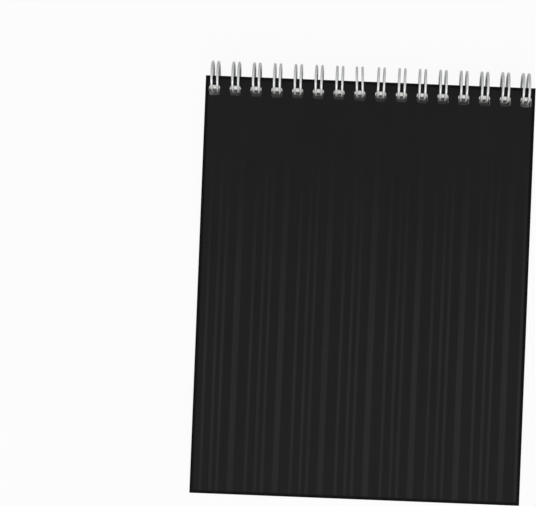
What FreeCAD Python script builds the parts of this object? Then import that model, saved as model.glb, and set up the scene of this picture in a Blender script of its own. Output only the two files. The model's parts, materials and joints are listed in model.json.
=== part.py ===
import FreeCAD, Part
import os
import Sketcher
from math import radians

# Reporter notebook, lying closed on its back. +Z is up, +Y points to the wire-bound top edge and +X to the
# right of the front cover. The origin is under the middle of the notebook, at the height on which the
# loops stand. Lengths are millimetres.

doc = FreeCAD.newDocument("reporter_notebook")

SIZES = {
    "cover_length": 170.2,
    "side_margin": 3.7,
    "front_thickness": 0.5,
    "block_thickness": 5.1,
    "back_thickness": 0.9,
    "layer_gap": 0.15,
    "block_inset": 0.4,
    "loop_count": 16,
    "loop_pitch": 8.4667,
    "loop_width": 2.35,
    "ring_diameter": 12.7,
    "wire_diameter": 1.0,
    "bend_radius": 0.9,
    "stub_length": 0.8,
    "tip_gap": 0.15,
    "seam_gap": 0.15,
    "spine_gap": 0.1,
    "hole_width": 4.5,
    "hole_height": 4.1,
    "hole_corner": 1.0,
    "hole_margin": 3.8,
    "relief_gap": 0.15,
    "relief_taper": 20.0,
}

# Places follow from the sizes. The ring axis is the line on which every loop is centred, and the leaves
# and covers swing about it. The seam is the row of short straight wires between the loops.
PLACES = {
    "ring_radius": "(Sizes.ring_diameter - Sizes.wire_diameter) / 2",
    "axis_height": "Sizes.ring_diameter / 2",
    "stack_height": "Sizes.front_thickness + Sizes.block_thickness + Sizes.back_thickness + 2 * Sizes.layer_gap",
    "back_height": "axis_height - stack_height / 2",
    "block_height": "back_height + Sizes.back_thickness + Sizes.layer_gap",
    "front_height": "block_height + Sizes.block_thickness + Sizes.layer_gap",
    "axis_reach": "(Sizes.cover_length + Sizes.spine_gap - Sizes.ring_diameter / 2) / 2",
    "edge_reach": "axis_reach - Sizes.spine_gap",
    "block_reach": "edge_reach - Sizes.block_inset",
    "pattern_length": "Sizes.loop_pitch * (Sizes.loop_count - 1)",
    "cover_width": "pattern_length + 2 * Sizes.side_margin",
    "block_width": "cover_width - 2 * Sizes.block_inset",
    "block_length": "Sizes.cover_length - 2 * Sizes.block_inset",
    "last_loop": "pattern_length / 2",
    "hole_side": "last_loop + Sizes.hole_width / 2",
    "wire_side": "last_loop + Sizes.loop_width / 2",
    "bend_side": "wire_side + Sizes.bend_radius",
    "bend_reach": "Sizes.loop_width / 2 + Sizes.bend_radius",
    "seam_length": "Sizes.loop_pitch - 2 * bend_reach",
    "seam_drop": "axis_height - back_height - Sizes.back_thickness - Sizes.seam_gap - Sizes.wire_diameter / 2",
    "seam_radius": "sqrt(ring_radius ^ 2 + Sizes.bend_radius ^ 2)",
    "seam_depth": "sqrt(seam_radius ^ 2 - seam_drop ^ 2)",
    "seam_angle": "180 deg + asin(seam_drop / seam_radius) + atan(Sizes.bend_radius / ring_radius)",
    "tip_clearance": "sqrt((bend_reach + Sizes.wire_diameter + Sizes.tip_gap) ^ 2 - bend_reach ^ 2)",
    "tip_setback": "tip_clearance / ring_radius * 180 deg / pi",
    "ring_sweep": "360 deg - tip_setback",
    "relief_height": "Sizes.seam_gap + Sizes.wire_diameter + Sizes.relief_gap - Sizes.layer_gap",
    "relief_flat": "block_reach - axis_reach + seam_depth + Sizes.wire_diameter / 2 + Sizes.relief_gap",
}

# Sketcher's numbers for a point of an edge and for the sketch's own origin.
START = 1
END = 2
CENTRE = 3
ORIGIN = -1
UP = FreeCAD.Vector(0, 0, 1)
RIGHT = FreeCAD.Vector(1, 0, 0)

# Turns in degrees.
QUARTER = 90
HALF = 180


def fill_sheet(name, rows, mark=""):
    """A sheet with one aliased cell for each row."""
    sheet = doc.addObject("Spreadsheet::Sheet", name)
    for number, (alias, content) in enumerate(rows.items(), start=1):
        sheet.set(f"A{number}", alias)
        sheet.set(f"B{number}", f"{mark}{content}")
        sheet.setAlias(f"B{number}", alias)
    doc.recompute()
    return sheet


def number_of(sheet, alias):
    """A cell's number, for drawing a sketch near its final size."""
    cell = getattr(sheet, alias)
    return float(getattr(cell, "Value", cell))


def bind(thing, formulas):
    """Ties properties of a document object to formulas over the sheets."""
    for name, formula in formulas.items():
        thing.setExpression(name, formula)


def new_body(label, formulas):
    """A body for one physical piece, placed by formulas."""
    body = doc.addObject("PartDesign::Body", label)
    body.Label = label
    body.AllowCompound = True
    bind(body, formulas)
    return body


def origin_feature(body, role):
    """One of a body's own base planes or axes."""
    return next(feature for feature in body.Origin.OriginFeatures if feature.Role == role)


def new_sketch(body, name, role="XY_Plane"):
    """A sketch on one of the body's own base planes."""
    sketch = body.newObject("Sketcher::SketchObject", name)
    sketch.AttachmentSupport = [(origin_feature(body, role), "")]
    sketch.MapMode = "FlatFace"
    return sketch


def dimension(sketch, kind, where, start, name, formula):
    """A named dimension of a sketch, drawn at its start value and tied to a formula."""
    index = sketch.addConstraint(Sketcher.Constraint(kind, *where, start))
    sketch.renameConstraint(index, name)
    sketch.setExpression(f"Constraints.{name}", formula)


def circle(sketch, name, across, along, across_formula, along_formula):
    """A round wire section. Two formulas give how far its centre is from the origin, to either side."""
    centre = FreeCAD.Vector(across, along, 0)
    ring = sketch.addGeometry(Part.Circle(centre, UP, number_of(sizes, "wire_diameter") / 2))
    dimension(sketch, "Diameter", (ring,), number_of(sizes, "wire_diameter"), f"{name}_width", "Sizes.wire_diameter")
    for axis, place, formula in (("X", across, across_formula), ("Y", along, along_formula)):
        ends = (ORIGIN, START, ring, CENTRE) if place > 0 else (ring, CENTRE, ORIGIN, START)
        dimension(sketch, f"Distance{axis}", ends, abs(place), f"{name}_{axis.lower()}", formula)


def pad(body, name, sketch, length, midplane=False, reverse=False):
    """A pad of a sketch with a length by formula."""
    feature = body.newObject("PartDesign::Pad", name)
    feature.Profile = sketch
    feature.Midplane = midplane
    feature.Reversed = reverse
    bind(feature, {"Length": length})
    body.Tip = feature
    doc.recompute()
    return feature


def along_edge(body, name, originals, occurrences, length):
    """Repeats features along the bound edge, from the last loop on the right to the first on the left."""
    pattern = body.newObject("PartDesign::LinearPattern", name)
    pattern.Originals = originals
    pattern.Direction = (origin_feature(body, "X_Axis"), [""])
    pattern.Reversed = True
    bind(pattern, {"Length": length, "Occurrences": occurrences})
    body.Tip = pattern
    doc.recompute()
    return pattern


def punch_holes(body):
    """The row of rounded holes near the bound edge, cut through the piece."""
    sketch = new_sketch(body, f"{body.Label}_hole")
    half = number_of(sizes, "hole_width") / 2
    corner = number_of(sizes, "hole_corner")
    top = -number_of(sizes, "hole_margin")
    bottom = top - number_of(sizes, "hole_height")
    right = number_of(places, "hole_side")
    left = right - 2 * half
    centres = [
        (right - corner, bottom + corner),
        (right - corner, top - corner),
        (left + corner, top - corner),
        (left + corner, bottom + corner),
    ]
    arcs = []
    for quarter, (across, along) in enumerate(centres, start=-1):
        bow = Part.Circle(FreeCAD.Vector(across, along, 0), UP, corner)
        ends = [radians(QUARTER * turn) for turn in (quarter, quarter + 1)]
        arcs.append(sketch.addGeometry(Part.ArcOfCircle(bow, *ends)))
    for index, arc in enumerate(arcs):
        following = arcs[(index + 1) % len(arcs)]
        ends = [sketch.getPoint(arc, END), sketch.getPoint(following, START)]
        line = sketch.addGeometry(Part.LineSegment(*ends))
        sketch.addConstraint(Sketcher.Constraint("Tangent", arc, END, line, START))
        sketch.addConstraint(Sketcher.Constraint("Tangent", line, END, following, START))
        sketch.addConstraint(Sketcher.Constraint("Horizontal" if index % 2 else "Vertical", line))
    for arc in arcs[1:]:
        sketch.addConstraint(Sketcher.Constraint("Equal", arcs[0], arc))
    low_right, high_right, high_left, low_left = arcs
    dimension(sketch, "Radius", (low_right,), corner, "corner", "Sizes.hole_corner")
    dimension(sketch, "DistanceX", (low_left, START, high_right, START), 2 * half, "width", "Sizes.hole_width")
    dimension(sketch, "DistanceY", (low_right, START, high_right, END), top - bottom, "height", "Sizes.hole_height")
    dimension(sketch, "DistanceY", (high_right, END, ORIGIN, START), -top, "margin", "Sizes.hole_margin")
    dimension(sketch, "DistanceX", (ORIGIN, START, high_right, START), right, "side", "Places.hole_side")
    doc.recompute()
    hole = body.newObject("PartDesign::Pocket", f"{body.Label}_punched_hole")
    hole.Profile = sketch
    hole.Type = "ThroughAll"
    hole.Reversed = True
    doc.recompute()
    along_edge(body, f"{body.Label}_hole_row", [hole], "Sizes.loop_count", "Places.pattern_length")


def outline(sketch, corners, formulas):
    """A closed outline of straight runs through its corners, with the dimensions that formulas name."""
    points = [FreeCAD.Vector(across, along, 0) for across, along in corners]
    lines = [
        sketch.addGeometry(Part.LineSegment(point, points[(index + 1) % len(points)]))
        for index, point in enumerate(points)
    ]
    for index, line in enumerate(lines):
        following = lines[(index + 1) % len(lines)]
        sketch.addConstraint(Sketcher.Constraint("Coincident", line, END, following, START))
        step = points[(index + 1) % len(points)] - points[index]
        if step.y == 0:
            sketch.addConstraint(Sketcher.Constraint("Horizontal", line))
        elif step.x == 0:
            sketch.addConstraint(Sketcher.Constraint("Vertical", line))
    for name, (kind, where, start, formula) in formulas.items():
        dimension(sketch, kind, where, start, name, formula)
    doc.recompute()


def make_cover(label, height, thickness):
    """A flat rectangular cover with square corners, its bound edge on the local x axis."""
    body = new_body(label, {"Placement.Base.y": "Places.edge_reach", "Placement.Base.z": f"Places.{height}"})
    sketch = new_sketch(body, f"{label}_outline")
    half = number_of(places, "cover_width") / 2
    length = number_of(sizes, "cover_length")
    outline(sketch, [(-half, -length), (half, -length), (half, 0), (-half, 0)], {
        "width": ("DistanceX", (0, START, 0, END), 2 * half, "Places.cover_width"),
        "side": ("DistanceX", (ORIGIN, START, 0, END), half, "Places.cover_width / 2"),
        "length": ("DistanceY", (0, END, ORIGIN, START), length, "Sizes.cover_length"),
        "bound_edge": ("DistanceY", (0, END, 1, END), length, "Sizes.cover_length"),
    })
    pad(body, f"{label}_sheet", sketch, f"Sizes.{thickness}")
    punch_holes(body)
    return body


def make_page_block():
    """The leaves as one solid, trimmed a little smaller than the covers on every side. Its side view, drawn on
    YZ, is hollowed underneath for the seam of the wire."""
    body = new_body("page_block", {"Placement.Base.y": "Places.block_reach", "Placement.Base.z": "Places.block_height"})
    sketch = new_sketch(body, "page_block_side", "YZ_Plane")
    length = number_of(places, "block_length")
    tall = number_of(sizes, "block_thickness")
    lift = number_of(places, "relief_height")
    flat = number_of(places, "relief_flat")
    taper = number_of(sizes, "relief_taper")
    side = [(-length, 0), (-flat - taper, 0), (-flat, lift), (0, lift), (0, tall), (-length, tall)]
    outline(sketch, side, {
        "bound_edge": ("DistanceY", (ORIGIN, START, 3, END), tall, "Sizes.block_thickness"),
        "on_axis": ("DistanceX", (5, START, ORIGIN, START), length, "Places.block_length"),
        "length": ("DistanceX", (5, START, 3, END), length, "Places.block_length"),
        "thickness": ("DistanceY", (5, END, 5, START), tall, "Sizes.block_thickness"),
        "relief_height": ("DistanceY", (ORIGIN, START, 2, END), lift, "Places.relief_height"),
        "relief_flat": ("DistanceX", (2, START, ORIGIN, START), flat, "Places.relief_flat"),
        "relief_taper": ("DistanceX", (1, START, 1, END), taper, "Sizes.relief_taper"),
    })
    pad(body, "page_block_leaves", sketch, "Places.block_width", midplane=True)
    punch_holes(body)
    return body


def revolve(body, name, sketch, axis, angle, reverse=False):
    """A solid of revolution of a wire section about an axis of its sketch."""
    feature = body.newObject("PartDesign::Revolution", name)
    feature.Profile = sketch
    feature.ReferenceAxis = (sketch, [axis])
    feature.Reversed = reverse
    bind(feature, {"Angle": angle})
    doc.recompute()
    return feature


def seam_bend(body, name, across, hub, across_formula, hub_formula, reverse):
    """A quarter bend that takes one wire of a loop out of the ring and into the seam."""
    sketch = new_sketch(body, f"{name}_section")
    radius = number_of(places, "ring_radius")
    circle(sketch, "wire", across, radius, across_formula, "Places.ring_radius")
    line = Part.LineSegment(FreeCAD.Vector(hub, 0, 0), FreeCAD.Vector(hub, radius, 0))
    pivot = sketch.addGeometry(line, True)
    sketch.addConstraint(Sketcher.Constraint("Vertical", pivot))
    sketch.addConstraint(Sketcher.Constraint("PointOnObject", pivot, START, ORIGIN))
    dimension(sketch, "DistanceX", (ORIGIN, START, pivot, START), hub, "hub", hub_formula)
    dimension(sketch, "DistanceY", (pivot, START, pivot, END), radius, "pivot_length", "Places.ring_radius")
    doc.recompute()
    return revolve(body, name, sketch, "Axis0", f"{QUARTER} deg", reverse)


def seam_wire(body, name, side, length, reverse=False):
    """A straight wire of the seam, set off from a formula for x."""
    section = new_sketch(body, f"{name}_section", "YZ_Plane")
    radius = number_of(places, "ring_radius")
    bend = number_of(sizes, "bend_radius")
    circle(section, "wire", radius, -bend, "Places.ring_radius", "Sizes.bend_radius")
    section.setExpression("AttachmentOffset.Base.z", side)
    doc.recompute()
    return pad(body, name, section, length, reverse=reverse)


def make_wire():
    """One continuous wire bent into double loops. The local y axis points from the ring axis to the spot where
    a loop starts, and the local z axis is the way the loop sets off there, through the back cover."""
    body = new_body("twin_loop_wire", {})
    body.Placement.Rotation = FreeCAD.Rotation(RIGHT, number_of(places, "seam_angle"))
    bind(body, {
        "Placement.Base.y": "Places.axis_reach",
        "Placement.Base.z": "Places.axis_height",
        "Placement.Rotation.Angle": "Places.seam_angle",
    })
    radius = number_of(places, "ring_radius")
    right = number_of(places, "wire_side")
    left = right - number_of(sizes, "loop_width")
    bend = number_of(sizes, "bend_radius")
    left_formula = "Places.wire_side - Sizes.loop_width"

    pair = new_sketch(body, "loop_pair_section")
    circle(pair, "right", right, radius, "Places.wire_side", "Places.ring_radius")
    circle(pair, "left", left, radius, left_formula, "Places.ring_radius")
    doc.recompute()
    rings = revolve(body, "loop_pair", pair, "H_Axis", "Places.ring_sweep")

    tip_section = new_sketch(body, "tip_section")
    round_the_ring = FreeCAD.Rotation(RIGHT, number_of(places, "ring_sweep"))
    tip_section.AttachmentOffset = FreeCAD.Placement(FreeCAD.Vector(), round_the_ring)
    tip_section.setExpression("AttachmentOffset.Rotation.Angle", "Places.ring_sweep")
    circle(tip_section, "wire", right, radius, "Places.wire_side", "Places.ring_radius")
    middle = right - number_of(sizes, "loop_width") / 2
    pivot_line = Part.LineSegment(FreeCAD.Vector(middle, 0, 0), FreeCAD.Vector(middle, radius, 0))
    pivot = tip_section.addGeometry(pivot_line, True)
    tip_section.addConstraint(Sketcher.Constraint("Vertical", pivot))
    tip_section.addConstraint(Sketcher.Constraint("PointOnObject", pivot, START, ORIGIN))
    dimension(tip_section, "DistanceX", (ORIGIN, START, pivot, START), middle, "hub", "Places.last_loop")
    dimension(tip_section, "DistanceY", (pivot, START, pivot, END), radius, "pivot_length", "Places.ring_radius")
    doc.recompute()
    tip = revolve(body, "loop_tip", tip_section, "Axis0", f"{HALF} deg", reverse=True)

    right_bend = seam_bend(body, "right_bend", right, right + bend, "Places.wire_side", "Places.bend_side", True)
    left_bend = seam_bend(body, "left_bend", left, left - bend, left_formula,
                          f"{left_formula} - Sizes.bend_radius", False)

    loop = [rings, tip, right_bend, left_bend]
    along_edge(body, "loops", loop, "Sizes.loop_count", "Places.pattern_length")

    seam = seam_wire(body, "seam", "Places.bend_side - 2 * Places.bend_reach", "Places.seam_length", reverse=True)
    along_edge(body, "seams", [seam], "Sizes.loop_count - 1", "Places.pattern_length - Sizes.loop_pitch")
    seam_wire(body, "right_stub", "Places.bend_side", "Sizes.stub_length")
    seam_wire(body, "left_stub", "-Places.bend_side", "Sizes.stub_length", reverse=True)
    return body


sizes = fill_sheet("Sizes", SIZES)
places = fill_sheet("Places", PLACES, mark="=")

pieces = [
    make_cover("front_cover", "front_height", "front_thickness"),
    make_page_block(),
    make_cover("back_cover", "back_height", "back_thickness"),
    make_wire(),
]

doc.recompute()
for thing in doc.Objects:
    faults = {"Invalid", "Error"} & set(thing.State)
    if faults:
        raise RuntimeError(f"{thing.Name}: {sorted(faults)}")
for piece in pieces:
    if piece.Shape.isNull() or not piece.Shape.isValid():
        raise RuntimeError(f"{piece.Label} has no valid shape")

os.makedirs("parts", exist_ok=True)
for piece in pieces:
    piece.Shape.exportStep(f"parts/{piece.Label}.step")
    box = piece.Shape.BoundBox
    print(piece.Label, len(piece.Shape.Solids), round(piece.Shape.Volume, 2), box)
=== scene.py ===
"""The finish of a top-bound reporter notebook: striped cover, ruled leaves, back board and silver wire."""

import json
import math
import random

import bmesh
import bpy
from mathutils import Matrix, Vector


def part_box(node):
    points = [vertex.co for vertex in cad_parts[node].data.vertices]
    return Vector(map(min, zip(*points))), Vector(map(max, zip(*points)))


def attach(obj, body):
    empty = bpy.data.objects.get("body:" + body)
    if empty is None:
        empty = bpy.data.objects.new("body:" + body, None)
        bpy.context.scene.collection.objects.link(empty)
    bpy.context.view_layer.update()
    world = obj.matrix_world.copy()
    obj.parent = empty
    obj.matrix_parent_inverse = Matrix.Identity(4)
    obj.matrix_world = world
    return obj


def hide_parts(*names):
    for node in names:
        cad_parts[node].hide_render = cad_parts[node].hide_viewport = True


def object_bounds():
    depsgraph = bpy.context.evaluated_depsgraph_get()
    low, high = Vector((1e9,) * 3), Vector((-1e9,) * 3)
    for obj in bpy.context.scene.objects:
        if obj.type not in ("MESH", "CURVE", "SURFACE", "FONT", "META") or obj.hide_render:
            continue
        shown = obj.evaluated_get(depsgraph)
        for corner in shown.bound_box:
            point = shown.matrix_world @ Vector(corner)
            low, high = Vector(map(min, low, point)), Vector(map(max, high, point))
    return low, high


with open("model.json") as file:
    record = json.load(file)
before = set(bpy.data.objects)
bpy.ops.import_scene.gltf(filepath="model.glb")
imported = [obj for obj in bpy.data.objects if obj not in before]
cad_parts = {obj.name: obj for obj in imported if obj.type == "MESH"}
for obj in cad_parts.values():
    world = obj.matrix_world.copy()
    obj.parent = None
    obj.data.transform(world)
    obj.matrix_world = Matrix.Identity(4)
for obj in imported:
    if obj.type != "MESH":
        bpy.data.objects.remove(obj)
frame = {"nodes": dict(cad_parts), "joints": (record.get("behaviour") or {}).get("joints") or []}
cad_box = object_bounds()

MM = 0.001
random.seed(7)

# The notebook as the frame holds it: the cover's corners, the leaves' corners and the ring axis.
cover_low, cover_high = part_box("front_cover")
board_low, board_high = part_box("back_cover")
block_low, block_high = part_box("page_block")
axis_y, axis_z = frame["joints"][0]["pos_m"][1:]
ring_outer = cad_box[1][1] - axis_y

# The wire and the punched holes, at the sizes that they have in the frame.
LOOP_COUNT = 16
LOOP_PITCH = 8.4667 * MM
LOOP_WIDTH = 2.35 * MM
WIRE_RADIUS = 0.5 * MM
BEND_RADIUS = 0.9 * MM
STUB_LENGTH = 0.8 * MM
TIP_GAP = 0.15 * MM
SEAM_GAP = 0.15 * MM
HOLE_WIDTH = 4.5 * MM
HOLE_HEIGHT = 4.1 * MM
HOLE_CORNER = 1.0 * MM
HOLE_MARGIN = 3.8 * MM

first_loop = -LOOP_PITCH * (LOOP_COUNT - 1) / 2


def link(name, mesh):
    """A new object with this mesh in the scene."""
    thing = bpy.data.objects.new(name, mesh)
    bpy.context.scene.collection.objects.link(thing)
    return thing


def dress(thing, body, slot, *replaced):
    """The piece rides on its body and stands for CAD nodes; the slot is not used."""
    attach(thing, body)
    if replaced:
        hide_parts(*replaced)


# Node trees

class Tree:
    """Short calls for the nodes of one material, group or world."""

    def __init__(self, tree):
        self.tree = tree
        tree.nodes.clear()

    def add(self, kind, inputs=None, **settings):
        """A node with its settings; an input is a value or another node's socket."""
        node = self.tree.nodes.new(kind)
        for key, setting in settings.items():
            setattr(node, key, setting)
        for key, content in (inputs or {}).items():
            if isinstance(content, bpy.types.NodeSocket):
                self.tree.links.new(content, node.inputs[key])
            else:
                node.inputs[key].default_value = content
        return node

    def math(self, operation, first, second=0.0):
        """The value of a math node."""
        return self.add("ShaderNodeMath", {0: first, 1: second}, operation=operation).outputs[0]

    def ramp(self, content, low, high, to_low=0.0, to_high=1.0, kind="LINEAR"):
        """A value carried from one range to another, and held at its ends."""
        ends = {"Value": content, "From Min": low, "From Max": high, "To Min": to_low, "To Max": to_high}
        return self.add("ShaderNodeMapRange", ends, interpolation_type=kind).outputs[0]

    def blend(self, share, first, second):
        """A mix of two colours."""
        node = self.add("ShaderNodeMix", data_type="RGBA")
        for index, content in ((0, share), (6, first), (7, second)):
            if isinstance(content, bpy.types.NodeSocket):
                self.tree.links.new(content, node.inputs[index])
            else:
                node.inputs[index].default_value = content
        return node.outputs[2]

    def bump(self, height, strength, distance):
        """The normal of a surface with this height on it."""
        ends = {"Height": height, "Strength": strength, "Distance": distance}
        return self.add("ShaderNodeBump", ends).outputs[0]

    def group(self, tree, **inputs):
        """A node group placed with its own values."""
        contents = {key.replace("_", " "): content for key, content in inputs.items()}
        return self.add("ShaderNodeGroup", contents, node_tree=tree)


def new_group(name, inputs, outputs):
    """An empty node group with named sockets, and its tree of short calls."""
    group = bpy.data.node_groups.new(name, "ShaderNodeTree")
    for label, kind, default in inputs:
        socket = group.interface.new_socket(label, in_out="INPUT", socket_type=kind)
        if default is not None:
            socket.default_value = default
    for label, kind in outputs:
        group.interface.new_socket(label, in_out="OUTPUT", socket_type=kind)
    tree = Tree(group)
    return group, tree, tree.add("NodeGroupInput").outputs


def new_material(name):
    """An empty material with its tree of short calls."""
    material = bpy.data.materials.new(name)
    material.use_nodes = True
    return material, Tree(material.node_tree)


def grey(level):
    """A neutral colour."""
    return (level, level, level, 1.0)


def fine_grain():
    """Fine unevenness of a sheet: a value about one half, and a height for bump."""
    group, tree, given = new_group(
        "fine grain",
        [("Place", "NodeSocketVector", None), ("Grains per metre", "NodeSocketFloat", 2500.0),
         ("Stretch", "NodeSocketVector", (1.0, 1.0, 1.0))],
        [("Shade", "NodeSocketFloat"), ("Height", "NodeSocketFloat")],
    )
    stretched = {0: given["Place"], 1: given["Stretch"]}
    place = tree.add("ShaderNodeVectorMath", stretched, operation="MULTIPLY").outputs[0]
    specks = {"Vector": place, "Scale": given["Grains per metre"], "Detail": 3.0, "Roughness": 0.6}
    fine = tree.add("ShaderNodeTexNoise", specks).outputs[0]
    broad_scale = tree.math("MULTIPLY", given["Grains per metre"], 0.02)
    clouds = {"Vector": place, "Scale": broad_scale, "Detail": 2.0}
    broad = tree.add("ShaderNodeTexNoise", clouds).outputs[0]
    shade = tree.math("ADD", tree.math("MULTIPLY", fine, 0.5), tree.math("MULTIPLY", broad, 0.5))
    tree.add("NodeGroupOutput", {"Shade": shade, "Height": fine})
    return group


GRAIN = fine_grain()


# The cover's stripes repeat across its width, one broad stripe and three narrow ones each time. The first broad
# one is measured from the left edge. Each stripe is given by its place from a broad one, and its width.
STRIPE_REPEAT = 18.34 * MM
FIRST_BROAD = 16.28 * MM
STRIPES = ((0.0, 2.4 * MM), (6.2 * MM, 1.15 * MM), (10.15 * MM, 1.15 * MM), (12.95 * MM, 1.15 * MM))
STRIPE_EDGE = 0.6 * MM
# They come in below the bound edge between two distances, and weaken a little between two others. This rise and
# fall is painted sheen; the stripes themselves are the cover's own pattern.
STRIPE_SHEEN_RISE = (18 * MM, 115 * MM)
STRIPE_SHEEN_FADE = (135 * MM, 170 * MM)
STRIPE_SHEEN_LEFT = 0.85


def stripe_mask(tree, place):
    """1 on the lengthwise stripes and 0 between them, from a place across the cover."""
    start = cover_low[0] + FIRST_BROAD - STRIPE_REPEAT / 4
    across = tree.math("SUBTRACT", place, start)
    turns = tree.math("DIVIDE", across, STRIPE_REPEAT)
    within = tree.math("MULTIPLY", tree.math("FRACT", turns), STRIPE_REPEAT)
    mask = 0.0
    for middle, width in STRIPES:
        centre = (middle + STRIPE_REPEAT / 4) % STRIPE_REPEAT
        off = tree.math("ABSOLUTE", tree.math("SUBTRACT", within, centre))
        low, high = width / 2 - STRIPE_EDGE / 2, width / 2 + STRIPE_EDGE / 2
        mask = tree.math("MAXIMUM", mask, tree.ramp(off, low, high, 1.0, 0.0))
    return mask


# Painted shade darkens the rim along the cut edges: fully up to the first distance, and no more from the
# second.
PAINTED_RIM_SHADE = (0.9 * MM, 1.6 * MM)


def rim_shade_mask(tree, place):
    """1 along the four edges of the cover, where shade is painted, and 0 further in."""
    aside = tree.math("SUBTRACT", cover_high[0], tree.math("ABSOLUTE", place["X"]))
    from_bound_edge = tree.math("SUBTRACT", cover_high[1], place["Y"])
    from_free_end = tree.math("SUBTRACT", place["Y"], cover_low[1])
    nearest = tree.math("MINIMUM", aside, tree.math("MINIMUM", from_bound_edge, from_free_end))
    return tree.ramp(nearest, *PAINTED_RIM_SHADE, 1.0, 0.0, kind="SMOOTHSTEP")


def cover_material():
    """Satin black sheet with a dark rim of painted shade, and outside with stripes, its own pattern, that
    painted sheen shows more towards the free end.
    """
    material, tree = new_material("striped black sheet")
    place = tree.add("ShaderNodeTexCoord").outputs["Object"]
    split = tree.add("ShaderNodeSeparateXYZ", {0: place}).outputs
    below_edge = tree.math("SUBTRACT", cover_high[1], split["Y"])
    # Painted sheen: the stripes grow lighter from the bound edge towards the free end, then weaken a little.
    sheen_rise = tree.ramp(below_edge, *STRIPE_SHEEN_RISE, kind="SMOOTHSTEP")
    sheen_fade = tree.ramp(below_edge, *STRIPE_SHEEN_FADE, 1.0, STRIPE_SHEEN_LEFT)
    facing = tree.add("ShaderNodeTexCoord").outputs["Normal"]
    outside = tree.ramp(tree.add("ShaderNodeSeparateXYZ", {0: facing}).outputs["Z"], 0.4, 0.6)
    strength = tree.math("MULTIPLY", tree.math("MULTIPLY", sheen_rise, sheen_fade), outside)
    streaks = tree.group(GRAIN, Place=place, Grains_per_metre=900.0, Stretch=(1.0, 0.02, 1.0)).outputs
    uneven = tree.ramp(streaks["Shade"], 0.4, 0.6, 0.75, 1.15)
    strength = tree.math("MULTIPLY", strength, uneven)
    stripes = tree.math("MULTIPLY", stripe_mask(tree, split["X"]), strength)
    grain = tree.group(GRAIN, Place=place, Grains_per_metre=5200.0, Stretch=(1.0, 0.55, 1.0)).outputs
    fine_part = tree.math("MULTIPLY", grain["Shade"], 0.4)
    mottle = tree.math("ADD", fine_part, tree.math("MULTIPLY", streaks["Shade"], 0.6))
    shade = tree.ramp(mottle, 0.35, 0.65)
    ground = tree.blend(shade, (0.0074, 0.0074, 0.0077, 1.0), (0.0106, 0.0106, 0.0109, 1.0))
    stripe = tree.blend(grain["Shade"], (0.0165, 0.0165, 0.0170, 1.0), (0.0205, 0.0205, 0.0210, 1.0))
    inner = tree.blend(stripes, ground, stripe)
    # Painted shade: the cover's colour goes nearly black along its four edges.
    rim = rim_shade_mask(tree, split)
    colour = tree.blend(rim, inner, (0.0006, 0.0006, 0.0007, 1.0))
    roughness = tree.ramp(grain["Shade"], 0.3, 0.7, 0.42, 0.54)
    softened = tree.math("SUBTRACT", roughness, tree.math("MULTIPLY", stripes, 0.05))
    height = tree.math("ADD", grain["Height"], tree.math("MULTIPLY", stripes, 0.6))
    normal = tree.bump(height, 0.12, 0.02 * MM)
    sheet = {"Base Color": colour, "Roughness": softened, "Normal": normal}
    shader = tree.add("ShaderNodeBsdfPrincipled", sheet)
    shader.inputs["Specular IOR Level"].default_value = 0.07
    tree.add("ShaderNodeOutputMaterial", {"Surface": shader.outputs[0]})
    return material


def board_material():
    """Matt black back board with a pressed fibre grain."""
    material, tree = new_material("black back board")
    place = tree.add("ShaderNodeTexCoord").outputs["Object"]
    grain = tree.group(GRAIN, Place=place, Grains_per_metre=2600.0, Stretch=(1.0, 0.4, 1.0)).outputs
    colour = tree.blend(grain["Shade"], grey(0.0065), grey(0.0135))
    roughness = tree.ramp(grain["Shade"], 0.3, 0.7, 0.58, 0.72)
    normal = tree.bump(grain["Height"], 0.25, 0.04 * MM)
    board = {"Base Color": colour, "Roughness": roughness, "Normal": normal}
    shader = tree.add("ShaderNodeBsdfPrincipled", board)
    shader.inputs["Specular IOR Level"].default_value = 0.2
    tree.add("ShaderNodeOutputMaterial", {"Surface": shader.outputs[0]})
    return material


RULE_SPACING = 7.0 * MM
RULE_WIDTH = 0.22 * MM
FIRST_RULE = 24.0 * MM
LAST_RULE = 163.0 * MM


def leaf_material():
    """Writing paper with faint ruled lines across it."""
    material, tree = new_material("ruled writing paper")
    place = tree.add("ShaderNodeTexCoord").outputs["Object"]
    split = tree.add("ShaderNodeSeparateXYZ", {0: place}).outputs
    grain = tree.group(GRAIN, Place=place, Grains_per_metre=3800.0).outputs
    paper = tree.blend(grain["Shade"], (0.790, 0.785, 0.750, 1.0), (0.865, 0.862, 0.835, 1.0))
    below_edge = tree.math("SUBTRACT", block_high[1], split["Y"])
    from_first = tree.math("SUBTRACT", below_edge, FIRST_RULE - RULE_SPACING / 2)
    part = tree.math("FRACT", tree.math("DIVIDE", from_first, RULE_SPACING))
    within = tree.math("MULTIPLY", part, RULE_SPACING)
    off = tree.math("ABSOLUTE", tree.math("SUBTRACT", within, RULE_SPACING / 2))
    line = tree.ramp(off, RULE_WIDTH * 0.3, RULE_WIDTH * 0.7, 1.0, 0.0)
    begun = tree.math("GREATER_THAN", below_edge, FIRST_RULE - RULE_SPACING / 2)
    going = tree.math("LESS_THAN", below_edge, LAST_RULE)
    line = tree.math("MULTIPLY", line, tree.math("MULTIPLY", begun, going))
    line = tree.math("MULTIPLY", line, tree.ramp(grain["Shade"], 0.3, 0.7, 0.55, 0.8))
    colour = tree.blend(line, paper, (0.32, 0.42, 0.55, 1.0))
    normal = tree.bump(grain["Height"], 0.2, 0.02 * MM)
    shader = tree.add("ShaderNodeBsdfPrincipled", {"Base Color": colour, "Normal": normal})
    shader.inputs["Roughness"].default_value = 0.85
    shader.inputs["Specular IOR Level"].default_value = 0.3
    tree.add("ShaderNodeOutputMaterial", {"Surface": shader.outputs[0]})
    return material


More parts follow.
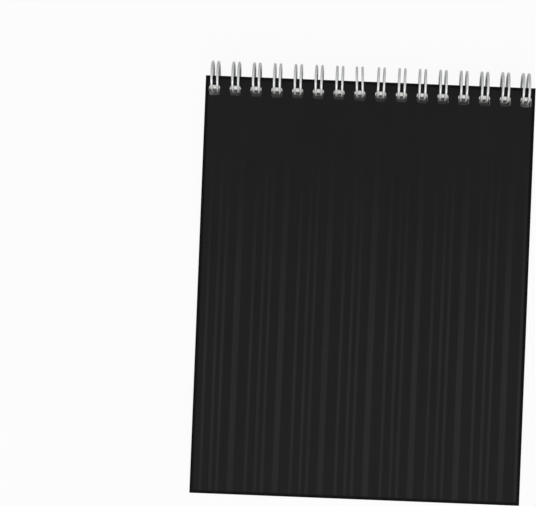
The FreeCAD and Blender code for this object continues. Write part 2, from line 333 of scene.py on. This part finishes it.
def leaf_edge_material():
    """The guillotined edges of the leaves, each leaf a little lighter or darker than the next."""
    material, tree = new_material("cut leaf edges")
    place = tree.add("ShaderNodeTexCoord").outputs["Object"]
    grain = tree.group(GRAIN, Place=place, Grains_per_metre=900.0, Stretch=(0.15, 0.15, 12.0)).outputs
    colour = tree.blend(grain["Shade"], (0.70, 0.695, 0.67, 1.0), (0.86, 0.855, 0.835, 1.0))
    normal = tree.bump(grain["Height"], 0.3, 0.05 * MM)
    shader = tree.add("ShaderNodeBsdfPrincipled", {"Base Color": colour, "Normal": normal})
    shader.inputs["Roughness"].default_value = 0.9
    shader.inputs["Specular IOR Level"].default_value = 0.2
    tree.add("ShaderNodeOutputMaterial", {"Surface": shader.outputs[0]})
    return material


def wire_material():
    """Bright silver-coated wire with drawn marks and rubbed spots."""
    material, tree = new_material("silver wire")
    place = tree.add("ShaderNodeTexCoord").outputs["Object"]
    grain = tree.group(GRAIN, Place=place, Grains_per_metre=1400.0, Stretch=(1.6, 0.5, 0.5)).outputs
    colour = tree.blend(grain["Shade"], (0.52, 0.53, 0.53, 1.0), (0.68, 0.69, 0.69, 1.0))
    roughness = tree.ramp(grain["Shade"], 0.3, 0.7, 0.34, 0.46)
    normal = tree.bump(grain["Height"], 0.08, 0.02 * MM)
    metal = {"Base Color": colour, "Roughness": roughness, "Normal": normal}
    shader = tree.add("ShaderNodeBsdfPrincipled", metal)
    shader.inputs["Metallic"].default_value = 0.35
    tree.add("ShaderNodeOutputMaterial", {"Surface": shader.outputs[0]})
    return material


# Leaves

LEAF_COUNT = 50
LEAF_FILL = 0.96
LEAF_SHIFT = 0.06 * MM
LEAF_HOLE_PLAY = 0.2 * MM
HANG_GAP = 0.09 * MM
END_INSET = 0.05 * MM
RELIEF_TAPER = 20.0 * MM
RELIEF_CUTS = 7
CORNER_STEPS = 4


def rounded_hole(middle):
    """The points of one hole in a leaf, in order. It is a little wider than the cover's."""
    top = block_high[1] - HOLE_MARGIN
    bottom = top - HOLE_HEIGHT
    half = HOLE_WIDTH / 2 + LEAF_HOLE_PLAY
    right, left = middle + half, middle - half
    turns = [
        (right - HOLE_CORNER, top - HOLE_CORNER, 0), (left + HOLE_CORNER, top - HOLE_CORNER, 90),
        (left + HOLE_CORNER, bottom + HOLE_CORNER, 180), (right - HOLE_CORNER, bottom + HOLE_CORNER, 270),
    ]
    points = []
    for across, along, start in turns:
        for step in range(CORNER_STEPS + 1):
            turn = math.radians(start + 90 * step / CORNER_STEPS)
            points.append((across + HOLE_CORNER * math.cos(turn), along + HOLE_CORNER * math.sin(turn)))
    return points


def leaf_pattern():
    """One flat leaf with its holes, cut into strips near the bound edge so that it can bend there."""
    pattern = bmesh.new()
    corners = [(block_low[0], leaf_end), (block_high[0], leaf_end),
               (block_high[0], block_high[1]), (block_low[0], block_high[1])]
    loops = [corners] + [rounded_hole(first_loop + number * LOOP_PITCH) for number in range(LOOP_COUNT)]
    for loop in loops:
        points = [pattern.verts.new((across, along, 0.0)) for across, along in loop]
        for index, point in enumerate(points):
            pattern.edges.new((point, points[(index + 1) % len(points)]))
    bmesh.ops.triangle_fill(pattern, use_beauty=True, edges=pattern.edges[:])
    for step in range(RELIEF_CUTS):
        cut = Vector((0.0, relief_start - step * RELIEF_TAPER / (RELIEF_CUTS - 1), 0.0))
        geometry = pattern.verts[:] + pattern.edges[:] + pattern.faces[:]
        bmesh.ops.bisect_plane(pattern, geom=geometry, plane_co=cut, plane_no=(0.0, 1.0, 0.0), dist=1e-7)
    for face in pattern.faces:
        if face.normal.z < 0:
            face.normal_flip()
    return pattern


def seam_place():
    """The radius of the loops, and how far the seam lies below the ring axis and away from it."""
    ring = ring_outer - WIRE_RADIUS
    drop = axis_z - board_high[2] - SEAM_GAP - WIRE_RADIUS
    reach = math.hypot(ring, BEND_RADIUS)
    return ring, drop, reach


def hang(height):
    """How far a leaf at this height slides down until the inside of the loops stops its holes."""
    inside = ring_radius - WIRE_RADIUS - HANG_GAP
    return math.sqrt(inside ** 2 - (height - axis_z) ** 2) - (axis_y - block_high[1] + HOLE_MARGIN)


ring_radius, seam_drop, seam_reach = seam_place()
leaf_end = cover_low[1] + hang(axis_z) + END_INSET
relief_start = axis_y - math.sqrt(seam_reach ** 2 - seam_drop ** 2) - WIRE_RADIUS - SEAM_GAP
relief_height = axis_z - seam_drop + WIRE_RADIUS + SEAM_GAP - block_low[2]


def page_block():
    """The leaves, each a thin sheet that hangs on the loops, squeezed together over the seam of the wire."""
    pattern = leaf_pattern()
    mesh = bpy.data.meshes.new("page_block_leaves")
    whole = bmesh.new()
    full = block_high[2] - block_low[2]
    leaf = (full - relief_height) / LEAF_COUNT * LEAF_FILL
    for number in range(LEAF_COUNT):
        squeezed = (full - relief_height - leaf) / (LEAF_COUNT - 1)
        at_holes = block_high[2] - (LEAF_COUNT - 1 - number) * squeezed
        sag = hang(at_holes) - random.uniform(0.0, LEAF_SHIFT)
        shift = Vector((random.uniform(-LEAF_SHIFT, LEAF_SHIFT), -sag, 0.0))
        levels = []
        for side in (0.0, leaf):
            copies = {}
            for point in pattern.verts:
                bent = min(max((point.co.y - relief_start + RELIEF_TAPER) / RELIEF_TAPER, 0.0), 1.0)
                bent = bent * bent * (3 - 2 * bent)
                step = (full - relief_height * bent - leaf) / (LEAF_COUNT - 1)
                height = block_high[2] - leaf - (LEAF_COUNT - 1 - number) * step
                copies[point] = whole.verts.new(point.co + shift + Vector((0.0, 0.0, height + side)))
            levels.append(copies)
        low, high = levels
        for face in pattern.faces:
            whole.faces.new([high[point] for point in face.verts])
            whole.faces.new([low[point] for point in reversed(face.verts)])
        for edge in pattern.edges:
            if len(edge.link_faces) == 1:
                walk = edge.link_loops[0]
                first, second = walk.vert, walk.link_loop_next.vert
                wall = whole.faces.new([high[second], high[first], low[first], low[second]])
                wall.material_index = 1
    whole.to_mesh(mesh)
    whole.free()
    pattern.free()
    mesh.materials.append(leaf_material())
    mesh.materials.append(leaf_edge_material())
    dress(link("page_block_leaves", mesh), "leaves", "leaves", "page_block")


# Wire

RING_STEPS = 96
BEND_STEPS = 8
TIP_STEPS = 14
# The loops lean sideways, each a little more or less, and one of them also stands askew.
# Near the seam both fade out.
LEAN = math.radians(3.2)
SKEWED_LOOP = 7
SKEW = math.radians(-2.5)
UNEVENNESS = 0.2
SEAM_HOLD = 3 * BEND_RADIUS


def wire_path():
    """The points of the whole wire, from its left end through every loop to its right end."""
    start = math.pi + math.asin(seam_drop / seam_reach) + math.atan(BEND_RADIUS / ring_radius)
    half = LOOP_WIDTH / 2
    reach = half + BEND_RADIUS
    clearance = math.sqrt((reach + 2 * WIRE_RADIUS + TIP_GAP) ** 2 - reach ** 2)
    sweep = 2 * math.pi - clearance / ring_radius

    def on_ring(turn, across, ahead=0.0):
        """A point turn along the ring, carried straight ahead off it."""
        angle = start + turn
        out = Vector((0.0, math.cos(angle), math.sin(angle)))
        forward = Vector((0.0, -math.sin(angle), math.cos(angle)))
        return Vector((across, axis_y, axis_z)) + out * ring_radius + forward * ahead

    points = []
    for number in range(LOOP_COUNT):
        middle = first_loop + number * LOOP_PITCH
        lean = LEAN + random.uniform(-UNEVENNESS, UNEVENNESS) * LEAN
        skew = SKEW if number == SKEWED_LOOP else random.uniform(-UNEVENNESS, UNEVENNESS) * abs(SKEW)
        loop = []
        for side in (-1, 1):
            leg = []
            for step in range(BEND_STEPS):
                turn = math.pi / 2 * step / BEND_STEPS
                across = middle + side * (reach - BEND_RADIUS * math.sin(turn))
                leg.append(on_ring(0.0, across, -BEND_RADIUS * math.cos(turn)))
            for step in range(RING_STEPS + 1):
                leg.append(on_ring(sweep * step / RING_STEPS, middle + side * half))
            loop.append(leg)
        tip = []
        for step in range(1, TIP_STEPS):
            turn = math.pi * step / TIP_STEPS
            tip.append(on_ring(sweep, middle - half * math.cos(turn), half * math.sin(turn)))
        whole = loop[0] + tip + loop[1][::-1]
        pivot = axis_y - ring_radius
        for point in whole:
            aside = (point.y - pivot) * math.tan(skew) - (point.z - cover_low[2]) * math.tan(lean)
            free = 1.0 - max(0.0, 1.0 - (point - on_ring(0.0, point.x)).length / SEAM_HOLD)
            point.x += aside * free
        points += whole
    stub = Vector((STUB_LENGTH, 0.0, 0.0))
    return [points[0] - stub] + points + [points[-1] + stub]


def wire():
    """The twin-loop wire as one smooth round wire."""
    curve = bpy.data.curves.new("wire_line", "CURVE")
    curve.dimensions = "3D"
    line = curve.splines.new("POLY")
    points = wire_path()
    line.points.add(len(points) - 1)
    for place, point in zip(line.points, points):
        place.co = (*point, 1.0)
    curve.bevel_depth = WIRE_RADIUS
    curve.bevel_resolution = 4
    curve.use_fill_caps = True
    helper = bpy.data.objects.new("wire_line", curve)
    bpy.context.scene.collection.objects.link(helper)
    bpy.context.view_layer.update()
    mesh = bpy.data.meshes.new_from_object(helper.evaluated_get(bpy.context.evaluated_depsgraph_get()))
    bpy.data.objects.remove(helper)
    mesh.name = "binding_wire"
    mesh.materials.clear()
    mesh.materials.append(wire_material())
    mesh.shade_smooth()
    dress(link("binding_wire", mesh), "base", "wire", "twin_loop_wire")


def paint(node, material):
    """Gives a CAD node its finish."""
    thing = frame["nodes"][node]
    for place in thing.material_slots:
        place.material = material


# Stage

FLOOR_HALF = 6.0
FLOOR_WHITE = 0.94
# Right under the notebook the floor is dark, a painted shadow, up to this far inside and outside the board's
# outline.
PAINTED_SHADOW_EDGE = (-0.5 * MM, 0.4 * MM)


def seen_by(tree):
    """Two masks of what is looked at: straight by the camera, and in a gloss or through something clear."""
    rays = tree.add("ShaderNodeLightPath").outputs
    return rays["Is Camera Ray"], tree.math("MAXIMUM", rays["Is Glossy Ray"], rays["Is Transmission Ray"])


def floor():
    """A white floor under the loops and the far edge of the back board, with a painted shadow right under the
    notebook, not there for a look from below.
    """
    corner = Vector((0.0, board_low[1], board_low[2]))
    to_axis = Vector((0.0, axis_y, axis_z)) - corner
    slope = math.atan2(to_axis.z, to_axis.y) - math.asin(ring_outer / to_axis.length)
    mesh = bpy.data.meshes.new("floor")
    corners = [(FLOOR_HALF * x, FLOOR_HALF * y, 0.0) for x, y in ((-1, -1), (1, -1), (1, 1), (-1, 1))]
    mesh.from_pydata(corners, [], [(0, 1, 2, 3)])
    thing = link("floor", mesh)
    thing.matrix_world = Matrix.Translation(corner) @ Matrix.Rotation(slope, 4, "X")
    material, tree = new_material("pale floor")
    straight, mirrored = seen_by(tree)
    place = tree.add("ShaderNodeTexCoord").outputs["Object"]
    split = tree.add("ShaderNodeSeparateXYZ", {0: place}).outputs
    beside = tree.math("SUBTRACT", tree.math("ABSOLUTE", split["X"]), board_high[0])
    beyond = tree.math("SUBTRACT", split["Y"], board_high[1] - board_low[1])
    before = tree.math("SUBTRACT", 0.0, split["Y"])
    outside = tree.math("MAXIMUM", beside, tree.math("MAXIMUM", beyond, before))
    # Painted shadow: under the notebook the camera sees no white, only the lamp-lit paint.
    clear = tree.ramp(outside, *PAINTED_SHADOW_EDGE)
    seen = tree.math("MAXIMUM", tree.math("MULTIPLY", straight, clear), mirrored)
    share = tree.math("MULTIPLY", seen, FLOOR_WHITE)
    paint_shader = tree.add("ShaderNodeBsdfDiffuse", {"Color": grey(0.6)}).outputs[0]
    white = tree.add("ShaderNodeEmission", {"Color": grey(1.0), "Strength": 1.0}).outputs[0]
    mixed = tree.add("ShaderNodeMixShader", {0: share, 1: paint_shader, 2: white}).outputs[0]
    from_below = tree.add("ShaderNodeNewGeometry").outputs["Backfacing"]
    nothing = tree.add("ShaderNodeBsdfTransparent").outputs[0]
    surface = tree.add("ShaderNodeMixShader", {0: from_below, 1: mixed, 2: nothing}).outputs[0]
    tree.add("ShaderNodeOutputMaterial", {"Surface": surface})
    mesh.materials.append(material)


def studio():
    """Even light from all round, brighter from the reader's side and dim overhead."""
    world = bpy.data.worlds.new("studio")
    bpy.context.scene.world = world
    world.use_nodes = True
    tree = Tree(world.node_tree)
    direction = tree.add("ShaderNodeTexCoord").outputs["Generated"]
    way = tree.add("ShaderNodeSeparateXYZ", {0: direction}).outputs
    overhead = tree.ramp(way["Z"], 0.20, 0.80)
    reader_side = tree.ramp(way["Y"], 0.0, -0.7)
    round_about = tree.blend(reader_side, grey(0.30), grey(0.60))
    light = tree.blend(overhead, round_about, grey(0.50))
    colour = tree.blend(tree.math("MAXIMUM", *seen_by(tree)), light, grey(1.0))
    shader = tree.add("ShaderNodeBackground", {"Color": colour, "Strength": 1.0}).outputs[0]
    tree.add("ShaderNodeOutputWorld", {"Surface": shader})


def softbox(name, place, target, size, power):
    """A square area lamp that faces a target."""
    lamp = bpy.data.lights.new(name, "AREA")
    lamp.shape = "SQUARE"
    lamp.size = size
    lamp.energy = power
    thing = link(name, lamp)
    thing.location = place
    thing.rotation_euler = (Vector(target) - Vector(place)).to_track_quat("-Z", "Y").to_euler()


# Camera: straight above, with the notebook right of the frame's middle and turned a little clockwise.
PICTURE_WIDTH = 536
PICTURE_HEIGHT = 506
COVER_MIDDLE_PIXEL = (362.5, 290.55)
COVER_WIDTH_PIXELS = 330.0
COVER_TURN = math.radians(2.29)
CAMERA_DISTANCE = 0.7


def camera():
    """Looks straight down on the cover and frames it as the photograph does."""
    metres_per_pixel = (cover_high[0] - cover_low[0]) / COVER_WIDTH_PIXELS
    middle = Vector(((cover_low[0] + cover_high[0]) / 2, (cover_low[1] + cover_high[1]) / 2, cover_high[2]))
    right = (PICTURE_WIDTH / 2 - COVER_MIDDLE_PIXEL[0]) * metres_per_pixel
    up = (COVER_MIDDLE_PIXEL[1] - PICTURE_HEIGHT / 2) * metres_per_pixel
    turn = Matrix.Rotation(COVER_TURN, 4, "Z")
    lens = bpy.data.cameras.new("camera")
    lens.lens = lens.sensor_width * CAMERA_DISTANCE / (PICTURE_WIDTH * metres_per_pixel)
    lens.clip_end = 30.0
    thing = link("camera", lens)
    thing.matrix_world = Matrix.Translation(middle + turn @ Vector((right, up, CAMERA_DISTANCE))) @ turn
    bpy.context.scene.camera = thing


page_block()
wire()
paint("front_cover", cover_material())
paint("back_cover", board_material())
floor()
studio()
softbox("reader_side_lamp", (0.16, -1.78, 1.56), (0.0, 0.0, 0.0), 1.25, 40.0)
softbox("left_lamp", (-1.3, 0.1, 1.0), (0.0, 0.0, 0.0), 0.8, 2.0)
camera()
bpy.context.scene.view_settings.view_transform = "Standard"
